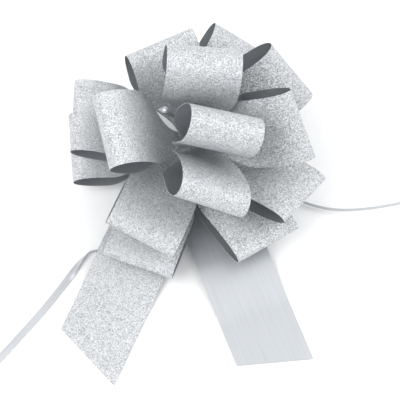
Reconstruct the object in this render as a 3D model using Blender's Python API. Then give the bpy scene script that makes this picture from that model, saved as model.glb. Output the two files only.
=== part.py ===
"""Pull bow for gift wrapping: ribbon loops stacked on thin pull ribbons, with two tails.

Metres, +Z up. The stack of heat seals stands on the origin and the object lies on Z = 0.
"""
import math

import bmesh
import bpy
import numpy as np

for old in list(bpy.data.objects):
    bpy.data.objects.remove(old, do_unlink=True)

MM = 0.001

# wide ribbon, as a thin closed solid
RIBBON_WIDTH = 50.0
SHEET = 0.8
NECK_HALF = 3.0
NECK_RADIUS = 5.2

# stack of heat seals, all in mm
SEAL_FIRST = 10.0
SEAL_PITCH = 4.7
SEAL_COUNT = 7
SEAL_RADIUS = 4.4
SEAL_HEIGHT = 3.0
BASE_HEIGHT = 7.6
LEG_SPLIT = 0.9
LEG_SPLIT_FADE = 12.0

# thin pull ribbons
CORE_HALF = (2.5, 0.5)
SLOT_HALF = (2.9, 0.9)
CORE_TOP = 41.2
GAP = 0.3
KNOT_TOP = 47.0
PULL_WIDTH = 4.8
COIL_INNER = 17.2
COIL_OUTER = 36.6
COIL_HEIGHT = 10.2

# mesh steps
LOOP_STEPS = 32
LOOP_CROSS = 3
TAIL_STEPS = 24
TAIL_CROSS = 4

# name: seal, azimuth, elevation, roll, reach, thickness; degrees and mm. Loops lie flattest on the low
# seals and stand steeper further up, with two on top; loop_06 is the one steep loop low down.
LOOP_TAPER = 52.0
LOOP_TURN = 55.0
LOOP_BULGE = 0.77
LOOPS = {
    "loop_01": (1, -110, 5, 0, 92, 12),
    "loop_02": (1, -175, 10, 0, 76, 16),
    "loop_03": (2, -55, 10, -10, 94, 12),
    "loop_04": (2, 60, 15, 30, 78, 18),
    "loop_05": (3, -33, 15, -20, 94, 12),
    "loop_06": (3, 110, 50, 10, 74, 16),
    "loop_07": (4, -110, 20, -15, 90, 16),
    "loop_08": (4, 27, 25, 50, 84, 20),
    "loop_09": (5, -10, 37, 50, 92, 16),
    "loop_10": (5, 180, 28, -5, 80, 18),
    "loop_11": (6, -75, 40, -35, 87, 22),
    "loop_12": (6, -154, 53, -15, 86, 25),
    "loop_13": (7, 60, 75, 30, 80, 30),
    "loop_14": (7, -48, 66, -50, 88, 26),
}

# name: azimuth, distance of the left and right corner as seen looking outwards, neck height
TAILS = {
    "tail_left": (-114.0, 175.0, 153.5, 7.2),
    "tail_right": (-68.5, 172.5, 158.0, 5.9),
}
TAIL_DROP = (85.0, 130.0)
TAIL_TAPER = 22.0

# routes of the pull ribbons on the table, and their coils' centres
PULL_LEFT = [
    (-3.6, -6.5), (-8, -15), (-14, -28), (-26, -50), (-38, -66), (-49, -73), (-60, -74.5),
    (-67, -76), (-73, -82), (-81.5, -95), (-97, -116), (-112, -134), (-123, -147),
    (-134.6, -160.4),
]
PULL_RIGHT = [
    (5.8, -4.2), (14, -8), (26, -14), (50, -25), (75, -36), (88.5, -41.5), (103, -44.5),
    (118, -44.5), (133, -42.8), (147, -40.2), (162, -37), (178.6, -33.4),
]
COIL_LEFT = (-173.5, -155.0)
COIL_RIGHT = (190.5, 4.0)


def material(name, colour, metallic, rough):
    made = bpy.data.materials.new(name)
    made.use_nodes = True
    shader = made.node_tree.nodes["Principled BSDF"]
    shader.inputs["Base Color"].default_value = (*colour, 1.0)
    shader.inputs["Metallic"].default_value = metallic
    shader.inputs["Roughness"].default_value = rough
    made.diffuse_color = (*colour, 1.0)
    return made


GLITTER = material("glitter_ribbon", (0.66, 0.67, 0.68), 0.3, 0.5)
SATIN = material("satin_ribbon", (0.45, 0.46, 0.47), 0.5, 0.4)
PULL = material("pull_ribbon", (0.55, 0.56, 0.57), 0.5, 0.35)


def add_object(name, mesh, paint):
    mesh.materials.append(paint)
    made = bpy.data.objects.new(name, mesh)
    bpy.context.scene.collection.objects.link(made)
    return made


def add_mesh(name, points, faces, paint):
    """A closed mesh from points in mm, with its faces turned outwards."""
    mesh = bpy.data.meshes.new(name)
    mesh.from_pydata((np.asarray(points) * MM).tolist(), [], faces)
    work = bmesh.new()
    work.from_mesh(mesh)
    bmesh.ops.recalc_face_normals(work, faces=work.faces[:])
    bmesh.ops.triangulate(work, faces=work.faces[:])
    if work.calc_volume(signed=True) < 0:
        bmesh.ops.reverse_faces(work, faces=work.faces[:])
    work.to_mesh(mesh)
    work.free()
    return add_object(name, mesh, paint)


def loop_frame(azimuth, elevation):
    """Directions along the reach, level across it, and upwards across it."""
    az, el = np.radians([azimuth, elevation])
    reach = np.array([np.cos(az) * np.cos(el), np.sin(az) * np.cos(el), np.sin(el)])
    side = np.array([-np.sin(az), np.cos(az), 0.0])
    return reach, side, np.cross(reach, side)


def smooth(t):
    t = np.clip(t, 0.0, 1.0)
    return t * t * (3.0 - 2.0 * t)


def loop_surface(seal, azimuth, elevation, roll, size, thick):
    """Middle surface of a loop: out from its seal, round the tip and back above.

    The seal holds the neck level, and the loop turns to its roll on the way out.
    """
    reach, side, up = loop_frame(azimuth, elevation)
    u = np.linspace(0.0, 1.0, LOOP_STEPS + 1)
    turn = 2.0 * np.pi * u
    out = size * (1.0 - np.cos(turn)) / 2.0
    high = LOOP_BULGE * thick * np.sin(turn) * np.sin(turn / 2.0) ** 2
    run = np.concatenate([[0.0], np.cumsum(np.hypot(np.diff(out), np.diff(high)))])
    from_seal = np.minimum(run, run[-1] - run)
    half = NECK_HALF + (RIBBON_WIDTH / 2.0 - NECK_HALF) * smooth(from_seal / LOOP_TAPER)
    rolled = math.radians(roll) * smooth(out / LOOP_TURN)
    across = np.outer(np.cos(rolled), side) + np.outer(np.sin(rolled), up)
    through = np.cross(across, reach)
    az = math.radians(azimuth)
    start = np.array([math.cos(az) * NECK_RADIUS, math.sin(az) * NECK_RADIUS, seal_height(seal)])
    line = start + np.outer(out, reach) + high[:, None] * through
    line[:, 2] -= LEG_SPLIT * (1.0 - 2.0 * u) * np.exp(-from_seal / LEG_SPLIT_FADE)
    v = np.linspace(-1.0, 1.0, LOOP_CROSS + 1)
    return line[:, None] + (half[:, None] * v)[:, :, None] * across[:, None]


def seal_height(number):
    return SEAL_FIRST + SEAL_PITCH * (number - 1)


def grid_normals(surface):
    across = np.cross(np.gradient(surface, axis=0), np.gradient(surface, axis=1))
    return across / np.linalg.norm(across, axis=2, keepdims=True)


def thick_sheet(name, surface, paint):
    """A closed solid of SHEET thickness around a grid of points."""
    rows, cols = surface.shape[:2]
    normal = grid_normals(surface)
    points = np.concatenate(
        [
            (surface + normal * SHEET / 2.0).reshape(-1, 3),
            (surface - normal * SHEET / 2.0).reshape(-1, 3),
        ]
    )
    back = rows * cols
    faces = []
    for i in range(rows - 1):
        for j in range(cols - 1):
            a = i * cols + j
            quad = (a, a + cols, a + cols + 1, a + 1)
            faces.append(quad)
            faces.append(tuple(back + k for k in reversed(quad)))
    rim = [i * cols for i in range(rows)]
    rim += [(rows - 1) * cols + j for j in range(1, cols)]
    rim += [i * cols + cols - 1 for i in range(rows - 2, -1, -1)]
    rim += list(range(cols - 2, 0, -1))
    for a, b in zip(rim, rim[1:] + rim[:1]):
        faces.append((a, a + back, b + back, b))
    return add_mesh(name, points, faces, paint)


def tail_surface(azimuth, left, right, neck):
    """A tail from the base seal, dropping to the table, its end cut on the slant."""
    az = math.radians(azimuth)
    ahead = np.array([math.cos(az), math.sin(az), 0.0])
    side = np.array([-ahead[1], ahead[0], 0.0])
    v = np.linspace(-1.0, 1.0, TAIL_CROSS + 1)
    end = (left + right) / 2.0 + (right - left) / 2.0 * v
    share = np.linspace(0.0, 1.0, TAIL_STEPS + 1) ** 1.25
    run = NECK_RADIUS + np.outer(share, end - NECK_RADIUS)
    half = NECK_HALF + (RIBBON_WIDTH / 2.0 - NECK_HALF) * smooth((run - NECK_RADIUS) / TAIL_TAPER)
    low = SHEET / 2.0
    drop = smooth((run - TAIL_DROP[0]) / (TAIL_DROP[1] - TAIL_DROP[0]))
    height = neck + (low - neck) * drop
    surface = run[:, :, None] * ahead - (half * v)[:, :, None] * side
    surface[:, :, 2] = height
    return surface


def ring_faces(count, levels):
    faces = []
    for k in range(levels - 1):
        for i in range(count):
            j = (i + 1) % count
            faces.append((k * count + i, k * count + j, (k + 1) * count + j, (k + 1) * count + i))
    return faces


def slotted_disc(name, bottom, top, paint):
    """A round seal with the slot that the pull ribbons pass through."""
    count = 16
    angle = np.arange(count) * 2.0 * np.pi / count
    ring = np.stack([np.cos(angle), np.sin(angle)], 1)
    outer = ring * SEAL_RADIUS
    inner = ring * SLOT_HALF
    loops = [(outer, bottom), (outer, top), (inner, top), (inner, bottom)]
    points = []
    for outline, height in loops:
        points += [(x, y, height) for x, y in outline]
    faces = []
    for k in range(4):
        for i in range(count):
            j = (i + 1) % count
            n = (k + 1) % 4
            faces.append((k * count + i, k * count + j, n * count + j, n * count + i))
    return add_mesh(name, points, faces, paint)


def lathe(name, profile, paint, count=16, closed=False):
    """A solid of revolution about Z from (radius, height) pairs."""
    angle = np.arange(count) * 2.0 * np.pi / count
    points = []
    for radius, height in profile:
        points += [(radius * math.cos(a), radius * math.sin(a), height) for a in angle]
    faces = ring_faces(count, len(profile))
    if closed:
        last = (len(profile) - 1) * count
        for i in range(count):
            j = (i + 1) % count
            faces.append((last + i, last + j, j, i))
    else:
        faces.append(tuple(range(count)))
        faces.append(tuple((len(profile) - 1) * count + i for i in range(count)))
    return add_mesh(name, points, faces, paint)


def core(name, half, bottom, top, paint):
    """The flat bundle of pull ribbons, with the outline of the slots it runs through."""
    count = 16
    angle = np.arange(count) * 2.0 * np.pi / count
    outline = np.stack([np.cos(angle), np.sin(angle)], 1) * half
    points = [(x, y, height) for height in (bottom, top) for x, y in outline]
    faces = ring_faces(count, 2)
    faces.append(tuple(range(count)))
    faces.append(tuple(range(count, 2 * count)))
    return add_mesh(name, points, faces, paint)


def smooth_route(points, step):
    """Points every step along a Catmull-Rom curve through the route."""
    p = np.asarray(points, float)
    p = np.concatenate([2.0 * p[:1] - p[1:2], p, 2.0 * p[-1:] - p[-2:-1]])
    dense = []
    for i in range(1, len(p) - 2):
        t = np.linspace(0.0, 1.0, 20, endpoint=False)[:, None]
        a, b, c, d = p[i - 1 : i + 3]
        dense.append(
            0.5 * (2 * b + (c - a) * t + (2 * a - 5 * b + 4 * c - d) * t**2 + (3 * b - a - 3 * c + d) * t**3)
        )
    line = np.concatenate(dense + [p[-2:-1]])
    run = np.concatenate([[0.0], np.cumsum(np.linalg.norm(np.diff(line, axis=0), axis=1))])
    at = np.linspace(0.0, run[-1], max(int(round(run[-1] / step)), 2) + 1)
    return np.stack([np.interp(at, run, line[:, k]) for k in range(line.shape[1])], 1)


def tube(name, route, paint):
    """A plain tube along a route on the table."""
    line = smooth_route(route, 2.4 * PULL_WIDTH)
    curve = bpy.data.curves.new(name, "CURVE")
    curve.dimensions = "3D"
    curve.bevel_depth = PULL_WIDTH / 2.0 * MM
    curve.bevel_resolution = 2
    curve.use_fill_caps = True
    spline = curve.splines.new("POLY")
    spline.points.add(len(line) - 1)
    for point, (x, y) in zip(spline.points, line):
        point.co = (x * MM, y * MM, PULL_WIDTH / 2.0 * MM, 1.0)
    return add_object(name, curve, paint)


def coil(name, centre, paint):
    made = lathe(
        name,
        [(COIL_INNER, 0.0), (COIL_OUTER, 0.0), (COIL_OUTER, COIL_HEIGHT), (COIL_INNER, COIL_HEIGHT)],
        paint,
        32,
        True,
    )
    made.location = (centre[0] * MM, centre[1] * MM, 0.0)
    return made


def build_stack():
    lathe("seal_base", [(SEAL_RADIUS, 0.0), (SEAL_RADIUS, BASE_HEIGHT)], SATIN)
    for number in range(1, SEAL_COUNT + 1):
        middle = seal_height(number)
        slotted_disc(f"seal_{number}", middle - SEAL_HEIGHT / 2, middle + SEAL_HEIGHT / 2, SATIN)
    core("pull_core", CORE_HALF, BASE_HEIGHT + GAP, CORE_TOP, PULL)
    knot = [(2.0, CORE_TOP + GAP), (3.6, 43.0), (4.0, 44.6), (3.0, 46.2), (1.4, KNOT_TOP)]
    lathe("pull_knot", knot, PULL)


def build_all():
    build_stack()
    for name, values in LOOPS.items():
        thick_sheet(name, loop_surface(*values), GLITTER)
    for name, values in TAILS.items():
        thick_sheet(name, tail_surface(*values), GLITTER)
    tube("pull_left", PULL_LEFT, PULL)
    tube("pull_right", PULL_RIGHT, PULL)
    coil("pull_left_coil", COIL_LEFT, PULL)
    coil("pull_right_coil", COIL_RIGHT, PULL)


build_all()
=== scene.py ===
import math

import bpy
import numpy as np
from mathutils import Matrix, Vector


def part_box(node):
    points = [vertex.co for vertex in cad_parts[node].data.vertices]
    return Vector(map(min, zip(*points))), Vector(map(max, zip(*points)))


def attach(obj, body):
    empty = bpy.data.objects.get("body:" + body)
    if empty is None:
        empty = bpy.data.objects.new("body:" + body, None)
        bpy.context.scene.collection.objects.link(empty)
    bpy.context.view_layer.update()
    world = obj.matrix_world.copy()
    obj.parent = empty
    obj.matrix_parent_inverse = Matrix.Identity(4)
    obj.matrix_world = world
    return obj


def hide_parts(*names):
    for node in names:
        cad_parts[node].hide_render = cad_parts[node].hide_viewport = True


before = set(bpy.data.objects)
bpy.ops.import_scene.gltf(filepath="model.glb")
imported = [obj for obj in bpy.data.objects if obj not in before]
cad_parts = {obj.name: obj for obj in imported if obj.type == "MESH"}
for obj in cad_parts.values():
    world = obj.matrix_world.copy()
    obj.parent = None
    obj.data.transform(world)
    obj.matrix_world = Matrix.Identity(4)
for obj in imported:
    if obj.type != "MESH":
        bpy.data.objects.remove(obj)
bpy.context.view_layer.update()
mm = 0.001

ribbon = {"width": 50.0, "sheet": 0.3, "neckHalf": 3.0, "neckRadius": 5.2}
stack = {"firstSeal": 10.0, "pitch": 4.7, "legSplit": 0.9, "splitFade": 12.0}
pull = {"width": 4.8, "sheet": 0.3, "step": 1.5, "ease": 30.0, "lying": 0.35}


# camera: high in front of the tails, square to the table's left and right
def addCamera():
    view = {"elevation": 70.0, "distance": 1.4, "right": 0.0096, "up": -0.03425, "half": 0.141}
    tilt = math.radians(view["elevation"])
    up = np.array([0.0, math.sin(tilt), math.cos(tilt)])
    back = np.array([0.0, -math.cos(tilt), math.sin(tilt)])
    aim = np.array([view["right"], 0.0, 0.0]) + up * view["up"]
    lens = bpy.data.cameras.new("camera")
    lens.angle = 2.0 * math.atan(view["half"] / view["distance"])
    camera = bpy.data.objects.new("camera", lens)
    bpy.context.scene.collection.objects.link(camera)
    camera.location = aim + back * view["distance"]
    camera.rotation_euler = (math.radians(90.0 - view["elevation"]), 0.0, 0.0)
    bpy.context.scene.camera = camera


addCamera()
print("camera in place")


def hexColour(code):
    # sRGB hex to linear
    parts = [int(code[i : i + 2], 16) / 255.0 for i in (0, 2, 4)]
    linear = [c / 12.92 if c <= 0.04045 else ((c + 0.055) / 1.055) ** 2.4 for c in parts]
    return (*linear, 1.0)


def addNode(material, kind, settings=None, links=None):
    # one node, its plain settings, its socket values, and what each socket is fed from
    node = material.node_tree.nodes.new(kind)
    for name, value in (settings or {}).items():
        if isinstance(name, str) and hasattr(node, name):
            setattr(node, name, value)
        else:
            node.inputs[name].default_value = value
    for socket, (source, output) in (links or {}).items():
        material.node_tree.links.new(source.outputs[output], node.inputs[socket])
    return node


def newMaterial(name, settings):
    material = bpy.data.materials.new(name)
    material.use_nodes = True
    shader = material.node_tree.nodes["Principled BSDF"]
    for socket, value in settings.items():
        shader.inputs[socket].default_value = value
    return material, shader


def glitterFilm():
    # polyester ribbon coated with metallised flakes: each flake leans its own way, so it sparkles.
    # Real flakes are about 0.2 mm; they are drawn 0.55 mm across so that they show.
    flake = {"across": 0.55 * mm, "lean": 0.6, "dark": "8C8F92", "light": "DCDEE0"}
    material, shader = newMaterial("glitterFilm", {"Metallic": 0.15, "Roughness": 0.42})
    place = addNode(material, "ShaderNodeTexCoord")
    cells = addNode(material, "ShaderNodeTexVoronoi", {"Scale": 1.0 / flake["across"]},
                    {"Vector": (place, "Object")})
    parts = addNode(material, "ShaderNodeSeparateColor", None, {"Color": (cells, "Color")})
    shade = addNode(material, "ShaderNodeValToRGB", None, {"Fac": (parts, "Red")})
    shade.color_ramp.elements[0].color = hexColour(flake["dark"])
    shade.color_ramp.elements[1].color = hexColour(flake["light"])
    # flake normal = surface normal plus the cell's random direction, made unit length
    centred = addNode(material, "ShaderNodeVectorMath",
                      {"operation": "SUBTRACT", 1: (0.5, 0.5, 0.5)}, {0: (cells, "Color")})
    lean = addNode(material, "ShaderNodeVectorMath", {"operation": "SCALE", "Scale": flake["lean"]},
                   {0: (centred, "Vector")})
    surface = addNode(material, "ShaderNodeNewGeometry")
    tilted = addNode(material, "ShaderNodeVectorMath", {"operation": "ADD"},
                     {0: (surface, "Normal"), 1: (lean, "Vector")})
    unit = addNode(material, "ShaderNodeVectorMath", {"operation": "NORMALIZE"},
                   {0: (tilted, "Vector")})
    material.node_tree.links.new(shade.outputs["Color"], shader.inputs["Base Color"])
    material.node_tree.links.new(unit.outputs["Vector"], shader.inputs["Normal"])
    return material


def satinFilm(name, dark, light, roughness):
    # metallised polypropylene ribbon, drawn lengthwise in rolling: soft streaks run along it
    streak = {"across": 1.4 * mm, "stretch": 0.03, "height": 0.01 * mm}
    material, shader = newMaterial(name, {"Metallic": 0.8, "Roughness": roughness})
    place = addNode(material, "ShaderNodeTexCoord")
    along = addNode(material, "ShaderNodeMapping", {"Scale": (streak["stretch"], 1.0, 1.0)},
                    {"Vector": (place, "UV")})
    lines = addNode(material, "ShaderNodeTexNoise",
                    {"Scale": 1.0 / streak["across"], "Detail": 3.0}, {"Vector": (along, "Vector")})
    shade = addNode(material, "ShaderNodeValToRGB", None, {"Fac": (lines, "Fac")})
    shade.color_ramp.elements[0].position = 0.3
    shade.color_ramp.elements[0].color = hexColour(dark)
    shade.color_ramp.elements[1].position = 0.7
    shade.color_ramp.elements[1].color = hexColour(light)
    relief = addNode(material, "ShaderNodeBump", {"Distance": streak["height"]},
                     {"Height": (lines, "Fac")})
    material.node_tree.links.new(shade.outputs["Color"], shader.inputs["Base Color"])
    material.node_tree.links.new(relief.outputs["Normal"], shader.inputs["Normal"])
    return material


glitter = glitterFilm()
satin = satinFilm("satinFilm", "BEC1C4", "C5C8CB", 0.36)
pullFilm = satinFilm("pullFilm", "B4B7BA", "CCCFD2", 0.30)
sealFilm = satinFilm("weldedFilm", "B8BBBE", "D2D4D7", 0.42)
print("materials made")


def smooth(t):
    t = np.clip(t, 0.0, 1.0)
    return t * t * (3.0 - 2.0 * t)


def surfaceNormals(surface):
    # cross product of the two directions on the grid
    normal = np.cross(np.gradient(surface, axis=0), np.gradient(surface, axis=1))
    return normal / np.maximum(np.linalg.norm(normal, axis=2, keepdims=True), 1e-9)


def thinShell(name, surface, thickness, front, back, outward):
    # two copies of a grid, half the thickness either side along its normals, joined by a rim.
    # The front copy is on the side that outward points to, at the middle of the grid's first half.
    rows, cols = surface.shape[:2]
    normal = surfaceNormals(surface)
    if np.sum(normal[rows // 4, cols // 2] * outward) < 0.0:
        surface = surface[:, ::-1]
        normal = surfaceNormals(surface)
    half = thickness / 2.0
    points = np.concatenate([(surface + normal * half).reshape(-1, 3),
                             (surface - normal * half).reshape(-1, 3)]) * mm
    index = np.arange(rows * cols).reshape(rows, cols)
    quads = np.stack([index[:-1, :-1], index[1:, :-1], index[1:, 1:], index[:-1, 1:]], -1)
    quads = quads.reshape(-1, 4)
    behind = quads[:, ::-1] + rows * cols
    rim = np.concatenate([index[:, 0], index[-1, 1:], index[-2::-1, -1], index[0, -2:0:-1]])
    after = np.roll(rim, -1)
    edge = np.stack([after, rim, rim + rows * cols, after + rows * cols], -1)
    faces = np.concatenate([quads, behind, edge])
    mesh = bpy.data.meshes.new(name)
    mesh.from_pydata(points.tolist(), [], faces.tolist())
    mesh.materials.append(front)
    mesh.materials.append(back)
    side = np.zeros(len(faces), np.int32)
    side[len(quads) : 2 * len(quads)] = 1
    mesh.polygons.foreach_set("material_index", side)
    mesh.polygons.foreach_set("use_smooth", np.ones(len(faces), bool))
    # the rim meets both faces square, so its edges stay crisp
    mesh.set_sharp_from_angle(angle=math.radians(60.0))
    # UV in metres: distance run along the middle, and distance across
    middle = surface[:, cols // 2]
    run = np.concatenate([[0.0], np.cumsum(np.linalg.norm(np.diff(middle, axis=0), axis=1))])
    across = np.linalg.norm(surface - surface[:, :1], axis=2)
    flat = np.stack([np.broadcast_to(run[:, None], across.shape), across], -1).reshape(-1, 2) * mm
    flat = np.concatenate([flat, flat])
    corner = np.empty(len(mesh.loops), np.int32)
    mesh.loops.foreach_get("vertex_index", corner)
    layer = mesh.uv_layers.new(name="ribbon")
    layer.data.foreach_set("uv", flat[corner].ravel())
    made = bpy.data.objects.new(name, mesh)
    bpy.context.scene.collection.objects.link(made)
    return made


def catmullRom(points, step):
    # smooth curve through the points, then a point every step along it
    p = np.asarray(points, float)
    p = np.concatenate([2.0 * p[:1] - p[1:2], p, 2.0 * p[-1:] - p[-2:-1]])
    t = np.linspace(0.0, 1.0, 20, endpoint=False)[None, :, None]
    a, b, c, d = (p[k : len(p) - 3 + k][:, None] for k in range(4))
    curve = 0.5 * (2 * b + (c - a) * t + (2 * a - 5 * b + 4 * c - d) * t**2
                   + (3 * b - a - 3 * c + d) * t**3)
    curve = np.concatenate([curve.reshape(-1, p.shape[1]), p[-2:-1]])
    run = np.concatenate([[0.0], np.cumsum(np.linalg.norm(np.diff(curve, axis=0), axis=1))])
    at = np.linspace(0.0, run[-1], int(run[-1] / step) + 1)
    return np.stack([np.interp(at, run, curve[:, k]) for k in range(p.shape[1])], 1)


# pull ribbons: routes on the table in mm, as the part has them, up to where each coil starts
coil = {"outer": 34.0, "step": 4.8, "turns": 7.0, "sweep": 3.5, "firstLayer": 2.7,
        "climb": 0.3, "perTurn": 60}
pullLeft = {
    "route": [(-3.6, -6.5), (-8, -15), (-14, -28), (-26, -50), (-38, -66), (-49, -73),
              (-60, -74.5), (-67, -76), (-73, -82), (-81.5, -95), (-97, -116), (-112, -134),
              (-123, -147), (-134.6, -160.4), (-147, -176)],
    "coilCentre": (-173.5, -155.0), "turnWay": -1.0, "flatFrom": 95.0, "flatTo": 215.0,
    "length": 1.356,
}
pullRight = {
    "route": [(5.8, -4.2), (14, -8), (26, -14), (50, -25), (75, -36), (88.5, -41.5),
              (103, -44.5), (118, -44.5), (133, -42.8), (147, -40.2), (162, -37),
              (178.6, -33.4), (198, -29)],
    "coilCentre": (190.5, 4.0), "turnWay": 1.0, "flatFrom": 900.0, "flatTo": 901.0,
    "length": 1.329,
}


def coilTurns(centre, start, way):
    # radius moves one ribbon width a turn: inwards on the table, then back out on top of that
    s = np.linspace(0.0, coil["turns"], int(coil["turns"] * coil["perTurn"]) + 1)
    sweep = np.minimum(np.floor(s / coil["sweep"]), 1)
    part = s - coil["sweep"] * sweep
    inward = coil["outer"] - coil["step"] * part
    outward = coil["outer"] - coil["step"] * (coil["sweep"] - part)
    radius = np.where(sweep == 0, inward, outward)
    angle = math.atan2(start[1] - centre[1], start[0] - centre[0]) + way * 2.0 * np.pi * s
    climb = smooth((s - coil["sweep"]) / coil["climb"] + 0.5)
    height = coil["firstLayer"] + coil["step"] * climb
    return np.stack([centre[0] + radius * np.cos(angle), centre[1] + radius * np.sin(angle),
                     height], 1)


def pullRibbon(name, data, nodes):
    # the ribbon stands on its edge, except where it lies flat between flatFrom and flatTo
    table = catmullRom(data["route"], pull["step"])
    run = np.arange(len(table)) * pull["step"]
    lowered = smooth((run - data["flatFrom"]) / pull["ease"])
    raised = smooth((run - data["flatTo"]) / pull["ease"])
    flat = lowered * (1.0 - raised)
    height = coil["firstLayer"] * (1.0 - flat) + pull["lying"] * flat
    turns = coilTurns(data["coilCentre"], data["route"][-1], data["turnWay"])
    path = np.concatenate([np.column_stack([table, height]), turns[1:]])
    lean = np.concatenate([flat * np.pi / 2.0, np.zeros(len(turns) - 1)])
    ahead = np.gradient(path, axis=0)
    side = np.stack([-ahead[:, 1], ahead[:, 0], np.zeros(len(path))], 1)
    side /= np.linalg.norm(side, axis=1, keepdims=True)
    width = np.outer(np.cos(lean), [0.0, 0.0, 1.0]) + np.sin(lean)[:, None] * side
    v = np.linspace(-1.0, 1.0, 5)
    surface = path[:, None] + (v * pull["width"] / 2.0)[None, :, None] * width[:, None]
    made = thinShell(name, surface, pull["sheet"], pullFilm, pullFilm, side[len(path) // 4])
    tie = coilTie(name + "_tie", data["coilCentre"])
    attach(made, "base")
    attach(tie, "base")
    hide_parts(*nodes)
    real = np.sum(np.linalg.norm(np.diff(path, axis=0), axis=1)) * mm
    print(name, "runs", round(float(real), 3), "m")


def coilTie(name, centre):
    # a short band round the coil's section: a rounded rectangle, carried 4 mm along the coil
    tie = {"angle": 90.0, "wide": 4.0, "middle": 26.8, "halfAcross": 10.2, "halfUp": 5.2,
           "low": 0.2, "corner": 0.35}
    t = np.linspace(0.0, 2.0 * np.pi, 65)
    rounded = [np.sign(wave) * np.abs(wave) ** tie["corner"] for wave in (np.cos(t), np.sin(t))]
    away = tie["middle"] + tie["halfAcross"] * rounded[0]
    height = tie["low"] + tie["halfUp"] * (1.0 + rounded[1])
    angle = math.radians(tie["angle"])
    out = np.array([math.cos(angle), math.sin(angle), 0.0])
    along = np.array([-out[1], out[0], 0.0])
    line = np.array([*centre, 0.0]) + np.outer(away, out) + np.outer(height, [0.0, 0.0, 1.0])
    v = np.linspace(-1.0, 1.0, 3) * tie["wide"] / 2.0
    surface = line[:, None] + v[None, :, None] * along
    return thinShell(name, surface, pull["sheet"], pullFilm, pullFilm, np.array([0.0, 0.0, 1.0]))


pullRibbon("pull_ribbon_left", pullLeft, ["pull_left", "pull_left_coil"])
pullRibbon("pull_ribbon_right", pullRight, ["pull_right", "pull_right_coil"])
print("pull ribbons laid")

# loops, as the part has them: seal, azimuth, elevation, roll, reach, thickness
loopShape = {"taper": 52.0, "turn": 55.0, "bulge": 0.77, "along": 160, "across": 28,
             "pleats": 5.0, "pleatHigh": 0.35, "pleatFade": 16.0, "wave": 0.06,
             "waveRun": 24.0}
loops = {
    "loop_01": (1, -110, 5, 0, 92, 12),
    "loop_02": (1, -175, 10, 0, 76, 16),
    "loop_03": (2, -55, 10, -10, 94, 12),
    "loop_04": (2, 60, 15, 30, 78, 18),
    "loop_05": (3, -33, 15, -20, 94, 12),
    "loop_06": (3, 110, 50, 10, 74, 16),
    "loop_07": (4, -110, 20, -15, 90, 16),
    "loop_08": (4, 27, 25, 50, 84, 20),
    "loop_09": (5, -10, 37, 50, 92, 16),
    "loop_10": (5, 180, 28, -5, 80, 18),
    "loop_11": (6, -75, 40, -35, 87, 22),
    "loop_12": (6, -154, 53, -15, 86, 25),
    "loop_13": (7, 60, 75, 30, 80, 30),
    "loop_14": (7, -48, 66, -50, 88, 26),
}


def loopSheet(name, seal, azimuth, elevation, roll, size, thick):
    # out and back along the reach as a cosine, bulging as sine times half-sine squared; the level
    # neck turns to the roll on the way out, and fine pleats fade away from the seal
    az, el = np.radians([azimuth, elevation])
    reach = np.array([np.cos(az) * np.cos(el), np.sin(az) * np.cos(el), np.sin(el)])
    side = np.array([-np.sin(az), np.cos(az), 0.0])
    up = np.cross(reach, side)
    u = np.linspace(0.0, 1.0, loopShape["along"] + 1)
    turn = 2.0 * np.pi * u
    out = size * (1.0 - np.cos(turn)) / 2.0
    high = loopShape["bulge"] * thick * np.sin(turn) * np.sin(turn / 2.0) ** 2
    run = np.concatenate([[0.0], np.cumsum(np.hypot(np.diff(out), np.diff(high)))])
    fromSeal = np.minimum(run, run[-1] - run)
    spread = ribbon["width"] / 2.0 - ribbon["neckHalf"]
    half = ribbon["neckHalf"] + spread * smooth(fromSeal / loopShape["taper"])
    rolled = math.radians(roll) * smooth(out / loopShape["turn"])
    across = np.outer(np.cos(rolled), side) + np.outer(np.sin(rolled), up)
    through = np.cross(across, reach)
    height = stack["firstSeal"] + stack["pitch"] * (seal - 1)
    start = np.array([math.cos(az), math.sin(az), 0.0]) * ribbon["neckRadius"]
    start[2] = height
    line = start + np.outer(out, reach) + high[:, None] * through
    line[:, 2] -= stack["legSplit"] * (1.0 - 2.0 * u) * np.exp(-fromSeal / stack["splitFade"])
    v = np.linspace(-1.0, 1.0, loopShape["across"] + 1)
    surface = line[:, None] + (half[:, None] * v)[:, :, None] * across[:, None]
    pleat = np.cos(np.pi * loopShape["pleats"] * v + azimuth)
    fade = loopShape["pleatHigh"] * np.exp(-fromSeal / loopShape["pleatFade"])
    wave = loopShape["wave"] * np.sin(run[:, None] / loopShape["waveRun"] + seal)
    wave = wave * np.cos(np.pi * v / 2.0)
    surface = surface + (np.outer(fade, pleat) + wave)[:, :, None] * surfaceNormals(surface)
    quarter = loopShape["along"] // 4
    made = thinShell(name + "_ribbon", surface, ribbon["sheet"], glitter, satin,
                     through[quarter] * high[quarter])
    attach(made, name + "_body")
    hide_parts(name)


for name, values in loops.items():
    loopSheet(name, *values)
print("loops made:", len(loops))

# tails: azimuth, distance of the left and right corner looking outwards, neck height
tailShape = {"taper": 22.0, "dropFrom": 85.0, "dropTo": 130.0, "along": 150, "across": 28,
             "low": 0.4, "wave": 0.12, "waveRun": 9.0, "crowd": 1.25}
tails = {
    "tail_left": (-114.0, 175.0, 153.5, 7.2, glitter, satin),
    "tail_right": (-68.5, 172.5, 158.0, 5.9, satin, glitter),
}


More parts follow.
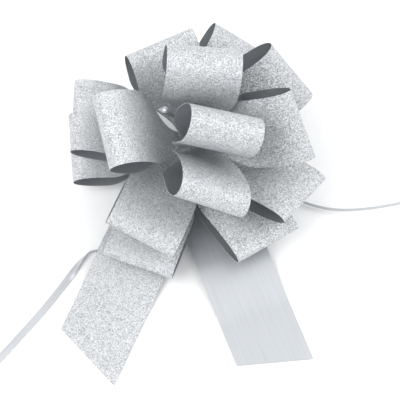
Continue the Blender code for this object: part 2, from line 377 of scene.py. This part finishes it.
def tailSheet(name, azimuth, left, right, neck, upper, under):
    # straight out from the base seal, easing down to the table, its end cut on the slant
    az = math.radians(azimuth)
    ahead = np.array([math.cos(az), math.sin(az), 0.0])
    side = np.array([-ahead[1], ahead[0], 0.0])
    v = np.linspace(-1.0, 1.0, tailShape["across"] + 1)
    end = (left + right) / 2.0 + (right - left) / 2.0 * v
    share = np.linspace(0.0, 1.0, tailShape["along"] + 1) ** tailShape["crowd"]
    run = ribbon["neckRadius"] + np.outer(share, end - ribbon["neckRadius"])
    spread = ribbon["width"] / 2.0 - ribbon["neckHalf"]
    opened = smooth((run - ribbon["neckRadius"]) / tailShape["taper"])
    half = ribbon["neckHalf"] + spread * opened
    drop = smooth((run - tailShape["dropFrom"]) / (tailShape["dropTo"] - tailShape["dropFrom"]))
    height = neck + (tailShape["low"] - neck) * drop
    lift = tailShape["wave"] * (1.0 + np.sin(run / tailShape["waveRun"]))
    lift = lift * np.cos(np.pi * v / 2.0)
    surface = run[:, :, None] * ahead - (half * v)[:, :, None] * side
    surface[:, :, 2] = height + lift
    made = thinShell(name + "_ribbon", surface, ribbon["sheet"], upper, under,
                     np.array([0.0, 0.0, 1.0]))
    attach(made, name + "_body")
    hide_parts(name)


for name, values in tails.items():
    tailSheet(name, *values)
print("tails laid")


def pullKnot():
    # three twisted ends of the pull ribbons: each rises, bends over and turns about its own line
    ends = {"lift": 1.5, "arc": 0.62, "along": 48}
    base = np.array([0.0, 0.0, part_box("pull_knot")[0].z]) / mm
    # azimuth, reach, rise, twist
    strands = [(150.0, 21.0, 13.0, 200.0), (70.0, 18.0, 15.0, -170.0), (-10.0, 15.0, 12.0, 150.0)]
    for number, (azimuth, reach, rise, twist) in enumerate(strands, 1):
        az = math.radians(azimuth)
        out = np.array([math.cos(az), math.sin(az), 0.0])
        side = np.array([-out[1], out[0], 0.0])
        u = np.linspace(0.0, 1.0, ends["along"] + 1)
        line = base + np.outer(reach * u, out)
        line[:, 2] += ends["lift"] + rise * np.sin(np.pi * ends["arc"] * u)
        ahead = np.gradient(line, axis=0)
        ahead /= np.linalg.norm(ahead, axis=1, keepdims=True)
        over = np.cross(ahead, side)
        turned = np.radians(twist) * u
        width = np.cos(turned)[:, None] * side + np.sin(turned)[:, None] * over
        v = np.linspace(-1.0, 1.0, 5) * pull["width"] / 2.0
        surface = line[:, None] + v[None, :, None] * width[:, None]
        made = thinShell("pull_end_" + str(number), surface, pull["sheet"], pullFilm, pullFilm,
                         np.array([0.0, 0.0, 1.0]))
        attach(made, "stack_top")


pullKnot()
for name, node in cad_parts.items():
    if name.startswith("seal") or name in ("pull_core", "pull_knot"):
        node.data.materials.clear()
        node.data.materials.append(sealFilm if name.startswith("seal") else pullFilm)
print("knot and seals finished")


def addStage():
    # a pale table, wide enough for every view
    half, low = 3.0, -0.5 * mm
    mesh = bpy.data.meshes.new("table")
    corners = [(-half, -half, low), (half, -half, low), (half, half, low), (-half, half, low)]
    mesh.from_pydata(corners, [], [(0, 1, 2, 3)])
    paper = newMaterial("palePaper", {"Base Color": hexColour("F6F6F6"), "Roughness": 0.9})[0]
    mesh.materials.append(paper)
    table = bpy.data.objects.new("table", mesh)
    bpy.context.scene.collection.objects.link(table)


def addLight(name, place, size, power):
    lamp = bpy.data.lights.new(name, "AREA")
    lamp.size = size
    lamp.energy = power
    made = bpy.data.objects.new(name, lamp)
    bpy.context.scene.collection.objects.link(made)
    made.location = place
    aim = np.array(place) / np.linalg.norm(place)
    made.rotation_euler = (math.acos(aim[2]), 0.0, math.atan2(aim[1], aim[0]) + math.pi / 2.0)


addStage()
addLight("softbox", (-0.6, -0.3, 1.2), 0.7, 8.0)
addLight("fill", (0.8, 0.2, 0.9), 0.8, 5.0)
world = bpy.data.worlds.new("studio")
world.use_nodes = True
world.node_tree.nodes["Background"].inputs["Color"].default_value = hexColour("F4F5F6")
world.node_tree.nodes["Background"].inputs["Strength"].default_value = 1.1
bpy.context.scene.world = world
bpy.context.scene.view_settings.view_transform = "Standard"
print("studio lit")
